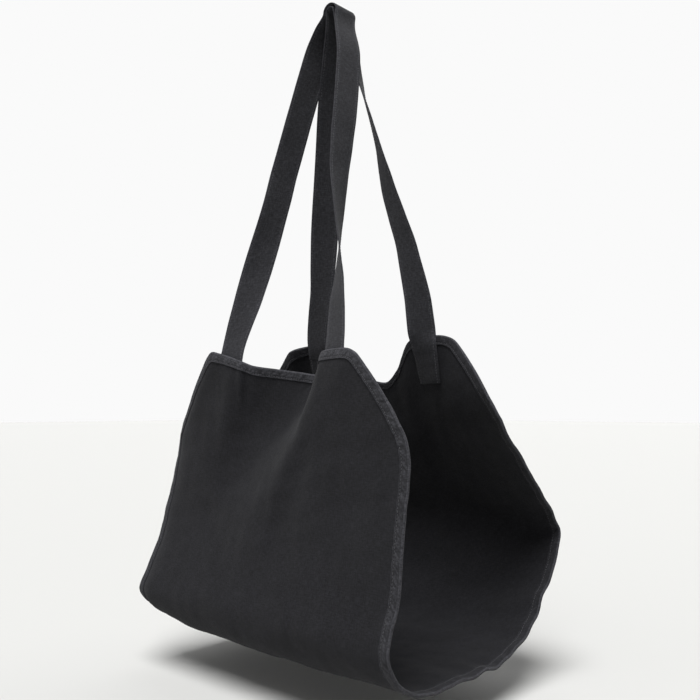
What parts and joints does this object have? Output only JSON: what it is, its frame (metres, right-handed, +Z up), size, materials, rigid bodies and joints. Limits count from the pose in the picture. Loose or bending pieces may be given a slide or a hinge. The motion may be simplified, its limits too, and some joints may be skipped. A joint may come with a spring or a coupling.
{
  "type": "log carrier",
  "caption": "Canvas log carrier: a bound cloth panel with cut corners, hung as a U open at both ends from two webbing handles, for carrying firewood.",
  "frame": {"origin": "where the carrier hangs: the middle of the underside of the back handle, which is the inner of the two loops there", "axes": "+X along the load towards the near open end, +Y from the front wall to the back wall, +Z up"},
  "size_m": [0.4546, 0.3648, 0.8732],
  "materials": {
    "canvas": "thick black cotton canvas, matt, slightly faded on the folds",
    "binding": "the same black canvas folded into a narrow hem, stitched and puckered",
    "webbing": "black cotton webbing, matt, tightly woven"
  },
  "bodies": {
    "root": {"body_panel": "canvas", "edge_binding": "binding", "front_handle": "webbing", "back_handle": "webbing"}
  },
  "joints": []
}
